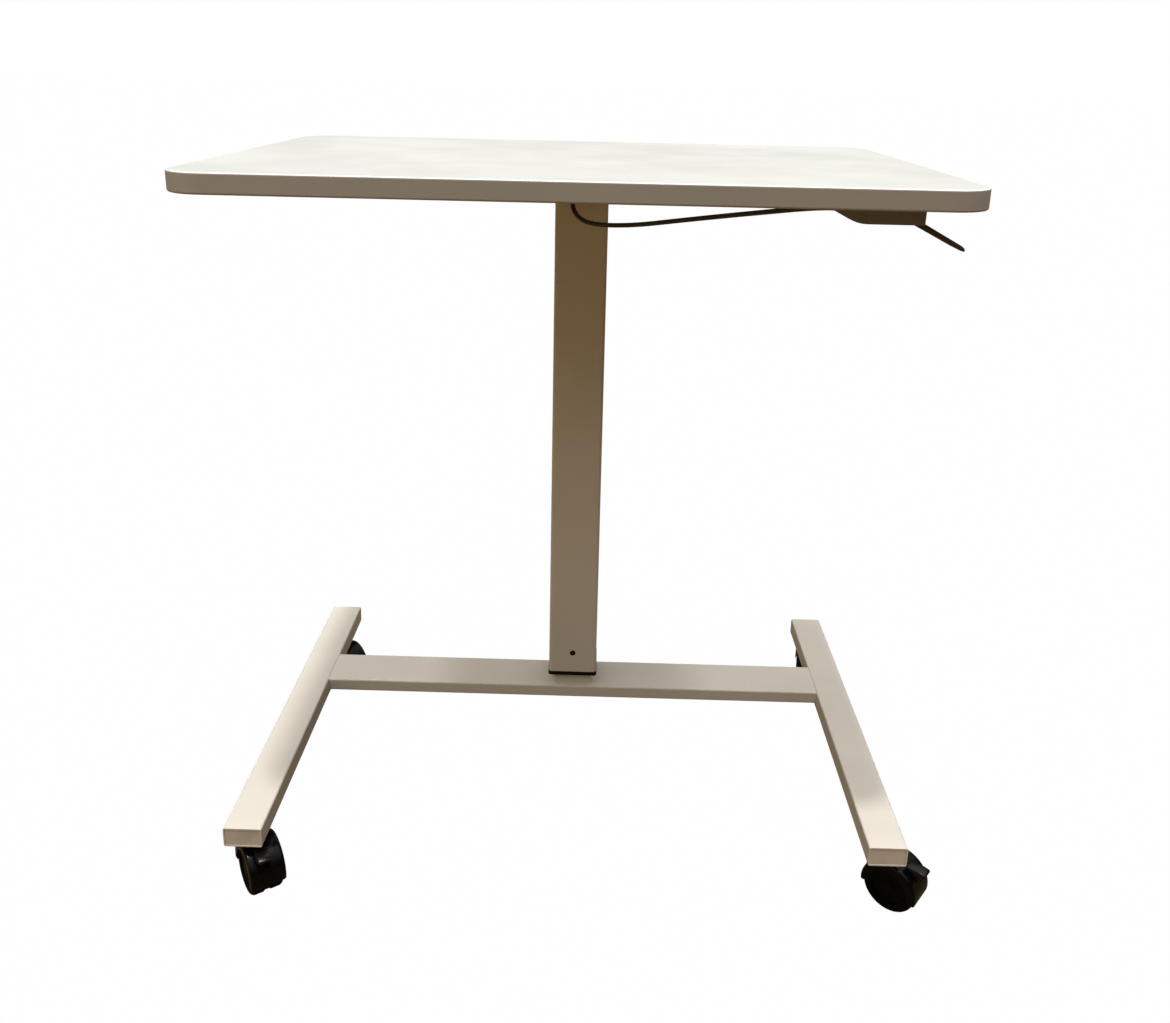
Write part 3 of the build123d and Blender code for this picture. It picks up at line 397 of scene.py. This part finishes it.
def stand_in(mesh, node):
    """Puts a mesh in the scene in place of a CAD node, on the node's body and in its finish."""
    piece = bpy.data.objects.new(node + "_piece", mesh)
    bpy.context.scene.collection.objects.link(piece)
    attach(piece, frame["nodes"][node]["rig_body"])
    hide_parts(node)
    dress(piece, SLOT_OF[node])


ROUND_SIDES, TURNED_SHARP = 40, math.radians(50.0)


def turned(name, path, radii):
    """A closed round skin along a path in the YZ plane: one ring at each point, one radius to a ring."""
    bm = bmesh.new()
    side = Vector((1.0, 0.0, 0.0))
    spokes = [2 * math.pi * k / ROUND_SIDES for k in range(ROUND_SIDES)]
    rings = []
    for index, here in enumerate(path):
        ahead = path[min(index + 1, len(path) - 1)] - path[max(index - 1, 0)]
        up = side.cross(ahead.normalized())
        outward = [math.cos(angle) * side + math.sin(angle) * up for angle in spokes]
        rings.append([bm.verts.new(here + radii[index] * arm) for arm in outward])
    for one, two in zip(rings, rings[1:]):
        for k in range(ROUND_SIDES):
            after = (k + 1) % ROUND_SIDES
            bm.faces.new((one[k], one[after], two[after], two[k]))
    bm.faces.new(rings[0][::-1])
    bm.faces.new(rings[-1])
    bmesh.ops.recalc_face_normals(bm, faces=bm.faces)
    mesh = bpy.data.meshes.new(name)
    smoothed(bm, mesh, TURNED_SHARP)
    return mesh


# The boot, in millimetres. Its sleeve goes back through the column's wall, its collar stands on the wall's
# front face, and its body runs straight, round a bend and down a short tail to a smooth tip.
BOOT_X, BOOT_Z, COLUMN_FACE_Y = -10.0, 718.5, 67.0
SLEEVE_L, SLEEVE_R = 5.0, 4.4
COLLAR = ((0.0, 6.4), (0.5, 7.0), (2.0, 7.0), (2.5, 6.4), (2.7, 4.9))
STRAIGHT_L, BEND_R, BEND, TAIL_L = 3.3, 14.0, math.radians(40.0), 1.5
ROOT_R, TAPER, RIB_H, RIB_PITCH, TIP_INSET = 4.7, 1.5, 0.32, 2.6, 0.1
SLEEVE_RINGS, BODY_RINGS, TIP_RINGS = 10, 44, 3


def boot_ring(run, length, ribbed):
    """Middle and radius of the boot's body at a distance along it."""
    angle = min(max(run - STRAIGHT_L, 0.0) / BEND_R, BEND)
    past = max(run - STRAIGHT_L - BEND_R * BEND, 0.0)
    out = COLLAR[-1][0] + min(run, STRAIGHT_L) + BEND_R * math.sin(angle) + past * math.cos(angle)
    drop = BEND_R * (1 - math.cos(angle)) + past * math.sin(angle)
    rib = RIB_H * math.cos(2 * math.pi * run / RIB_PITCH) if ribbed else -TIP_INSET
    return mm(BOOT_X, COLUMN_FACE_Y - out, BOOT_Z - drop), ROOT_R - TAPER * run / length + rib


def add_cable_boot():
    """Ribbed boot that tapers from a collar on the column's front wall to the cable, bending down."""
    step = SLEEVE_L / SLEEVE_RINGS
    sleeve = [mm(BOOT_X, COLUMN_FACE_Y + SLEEVE_L - step * k, BOOT_Z) for k in range(SLEEVE_RINGS)]
    outline = [(place, SLEEVE_R) for place in sleeve]
    outline += [(mm(BOOT_X, COLUMN_FACE_Y - out, BOOT_Z), radius) for out, radius in COLLAR]
    length = STRAIGHT_L + BEND_R * BEND + TAIL_L
    for k in range(1, BODY_RINGS + 1):
        outline.append(boot_ring(length * k / BODY_RINGS, length, ribbed=k <= BODY_RINGS - TIP_RINGS))
    path, radii = [place for place, _ in outline], [radius / 1000.0 for _, radius in outline]
    stand_in(turned("cable_boot", path, radii), "column_cable_boot")


add_cable_boot()
for soft_node, edge_width in EDGE_ROUNDING.items():
    softened(soft_node, edge_width)


# ---------------------------------------------------------------- release cable

CABLE_L, CABLE_D = 0.369, 0.005
CABLE_ROUTE = [
    (-10.0, 50.82, 714.24),
    (-10.0, 43.5, 708.10),
    (-6.35, 33.4, 701.20),
    (0.6, 23.8, 696.10),
    (10.3, 15.7, 693.50),
    (28.1, 6.6, 693.00),
    (60.0, -13.0, 697.00),
    (100.0, -43.0, 706.80),
    (145.0, -81.0, 718.20),
    (180.0, -116.0, 727.50),
    (207.0, -150.0, 735.70),
    (225.0, -173.0, 740.00),
    (240.0, -179.0, 739.90),
    (253.0, -179.0, 739.90),
]


def add_cable():
    """Sheathed cable from the boot to the lever housing, which sags and then runs under the top."""
    data = bpy.data.curves.new("release_cable_line", "CURVE")
    data.dimensions = "3D"
    data.bevel_depth = CABLE_D / 2
    data.bevel_resolution = 6
    data.use_fill_caps = True
    spline = data.splines.new("NURBS")
    spline.points.add(len(CABLE_ROUTE) - 1)
    for point, place in zip(spline.points, CABLE_ROUTE):
        point.co = (*mm(*place), 1.0)
    spline.order_u = 3
    spline.use_endpoint_u = True
    spline.resolution_u = 16
    cable = bpy.data.objects.new("release_cable_line", data)
    bpy.context.scene.collection.objects.link(cable)
    data.materials.append(FINISHES["cable_sheath"])
    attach(cable, "lift")
    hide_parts("release_cable")


add_cable()


# ---------------------------------------------------------------- stage and light

FLOOR_HALF, FLOOR_WHITE = 60.0, 0.995
FLOOR_BOUNCE = (0.135, 0.090, 0.040)
SKY_LOW, SKY_LOW_AT = (0.03, 0.018, 0.008), 0.34
SKY_HIGH, SKY_HIGH_AT = (1.0, 0.99, 0.96), 0.80
SKY_STRENGTH = 1.15
# name, the way it shines, strength, how wide it looks in degrees, colour
LIGHTS = (
    ("key", (0.02, 0.165, -1.0), 1.75, 3.0, (1.0, 0.995, 0.975)),
    ("left_lamp", (0.28, 0.05, -1.0), 0.66, 5.0, (0.96, 1.0, 1.0)),
    ("right_lamp", (-0.30, 0.05, -1.0), 0.693, 6.0, (0.96, 1.0, 1.0)),
    ("fill", (0.75, 0.60, -0.25), 0.41, 40.0, (1.0, 0.82, 0.58)),
)


def seen_and_lit(tree, seen, lit, output):
    """Gives the stage one shader for the camera and another for the light that it sends to the table."""
    path = tree.nodes.new("ShaderNodeLightPath")
    mix = tree.nodes.new("ShaderNodeMixShader")
    tree.links.new(path.outputs["Is Camera Ray"], mix.inputs[0])
    tree.links.new(lit.outputs[0], mix.inputs[1])
    tree.links.new(seen.outputs[0], mix.inputs[2])
    tree.links.new(mix.outputs[0], output.inputs["Surface"])


def add_floor():
    """A white floor without a shadow. The light it throws back is dim and warm, as off a toned backdrop."""
    mesh = bpy.data.meshes.new("floor")
    corners = [(FLOOR_HALF * x, FLOOR_HALF * y, 0) for x, y in ((-1, -1), (1, -1), (1, 1), (-1, 1))]
    mesh.from_pydata(corners, [], [(0, 1, 2, 3)])
    floor = bpy.data.objects.new("floor", mesh)
    bpy.context.scene.collection.objects.link(floor)
    mat = bpy.data.materials.new("floor")
    mat.use_nodes = True
    tree = mat.node_tree
    tree.nodes.remove(tree.nodes["Principled BSDF"])
    seen = tree.nodes.new("ShaderNodeEmission")
    seen.inputs["Color"].default_value = (1, 1, 1, 1)
    seen.inputs["Strength"].default_value = FLOOR_WHITE
    thrown = tree.nodes.new("ShaderNodeBsdfDiffuse")
    thrown.inputs["Color"].default_value = (*FLOOR_BOUNCE, 1)
    seen_and_lit(tree, seen, thrown, tree.nodes["Material Output"])
    mesh.materials.append(mat)


def add_sky():
    """Soft light from above, which fades to a dim warm band at the horizon, and a white backdrop."""
    world = bpy.data.worlds.new("studio")
    bpy.context.scene.world = world
    world.use_nodes = True
    tree = world.node_tree
    sky = tree.nodes["Background"]
    place = tree.nodes.new("ShaderNodeTexCoord")
    parts = tree.nodes.new("ShaderNodeSeparateXYZ")
    ramp = tree.nodes.new("ShaderNodeValToRGB")
    ramp.color_ramp.interpolation = "EASE"
    stops = ramp.color_ramp.elements
    stops[0].position, stops[0].color = SKY_LOW_AT, (*SKY_LOW, 1)
    stops[1].position, stops[1].color = SKY_HIGH_AT, (*SKY_HIGH, 1)
    tree.links.new(place.outputs["Generated"], parts.inputs[0])
    tree.links.new(parts.outputs["Z"], ramp.inputs["Fac"])
    tree.links.new(ramp.outputs["Color"], sky.inputs["Color"])
    sky.inputs["Strength"].default_value = SKY_STRENGTH
    white = tree.nodes.new("ShaderNodeBackground")
    white.inputs["Color"].default_value = (1, 1, 1, 1)
    white.inputs["Strength"].default_value = 1.0
    seen_and_lit(tree, white, sky, tree.nodes["World Output"])


def add_light(name, direction, strength, wide_deg, color):
    """A soft distant light that shines along a direction."""
    data = bpy.data.lights.new(name, "SUN")
    data.energy, data.angle, data.color = strength, math.radians(wide_deg), color
    light = bpy.data.objects.new(name, data)
    light.rotation_euler = Vector(direction).to_track_quat("-Z", "Y").to_euler()
    bpy.context.scene.collection.objects.link(light)


add_floor()
add_sky()
for light_values in LIGHTS:
    add_light(*light_values)
bpy.context.scene.view_settings.view_transform = "Standard"
